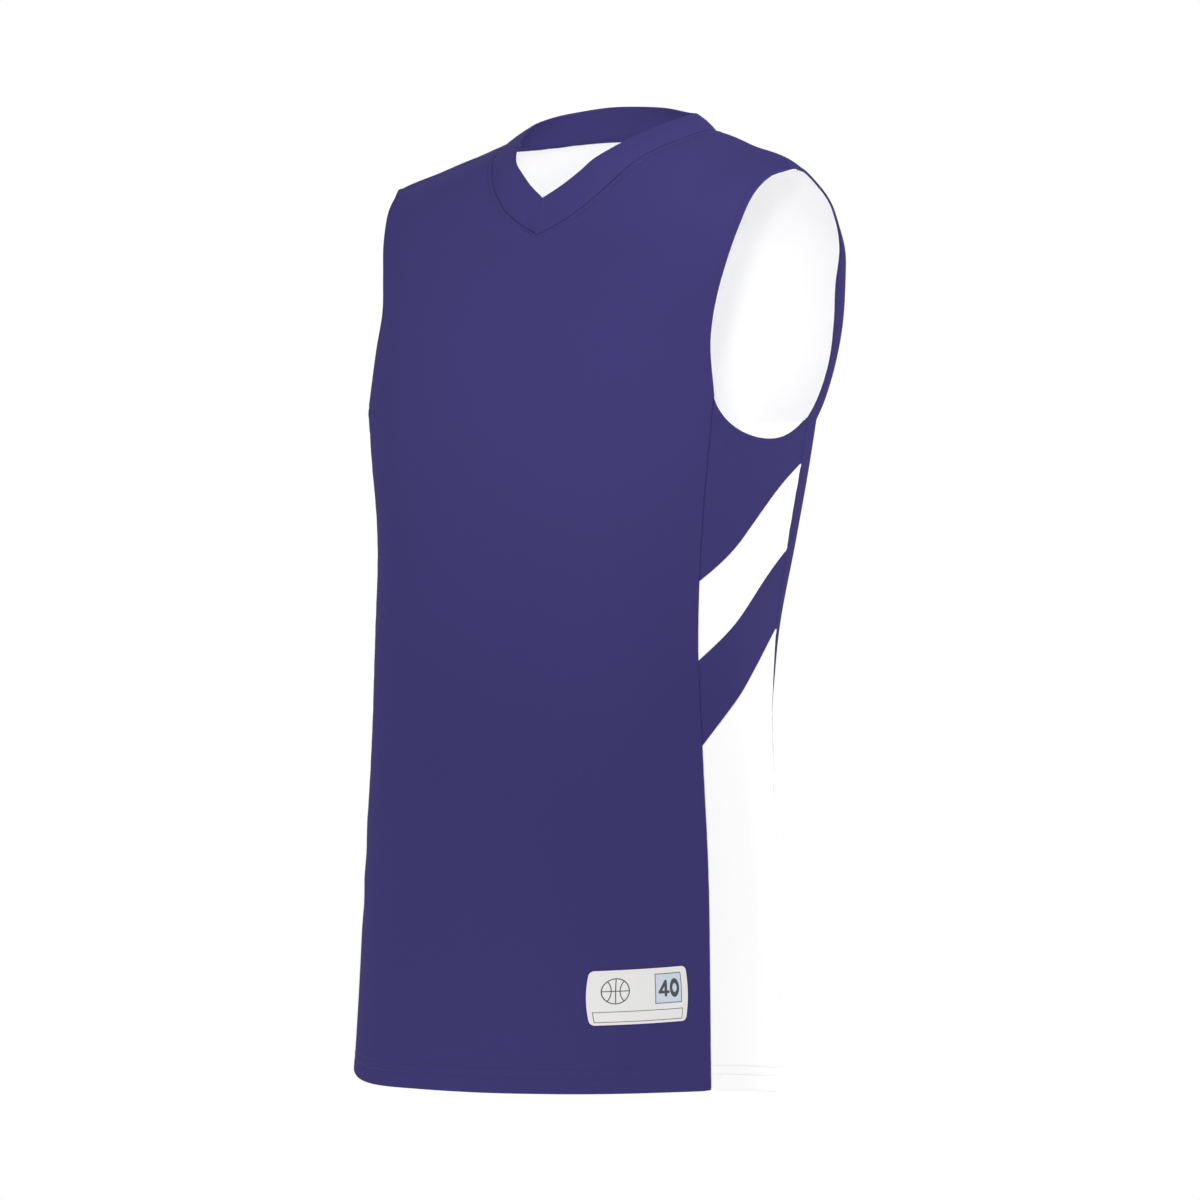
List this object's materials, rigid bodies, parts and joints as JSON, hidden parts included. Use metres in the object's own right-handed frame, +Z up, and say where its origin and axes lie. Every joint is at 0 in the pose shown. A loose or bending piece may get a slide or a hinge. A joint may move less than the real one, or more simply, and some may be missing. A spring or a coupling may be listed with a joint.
{
  "type": "basketball jersey",
  "caption": "Sleeveless knit jersey with a V collar band and striped side panels, standing open as worn, with an open neck, hem and armholes.",
  "frame": {"origin": "on the centre plane between the shoulders, level with the neck end of the shoulder seams, where a wearer carries the garment", "axes": "+Z up, +X to the wearer's left, -Y to the front"},
  "size_m": [0.364, 0.3111, 0.7536],
  "materials": {
    "purple_knit": "smooth matt polyester knit",
    "white_knit": "smooth matt polyester knit",
    "woven_label": "woven satin tape"
  },
  "bodies": {
    "root": {"front_panel": "purple_knit", "back_panel": "purple_knit", "side_left_underarm": "purple_knit", "side_left_upper_stripe": "white_knit", "side_left_lower_stripe": "purple_knit", "side_left_lower": "white_knit", "side_right_underarm": "purple_knit", "side_right_upper_stripe": "white_knit", "side_right_lower_stripe": "purple_knit", "side_right_lower": "white_knit", "collar": "purple_knit", "hip_label": "woven_label"}
  },
  "joints": []
}
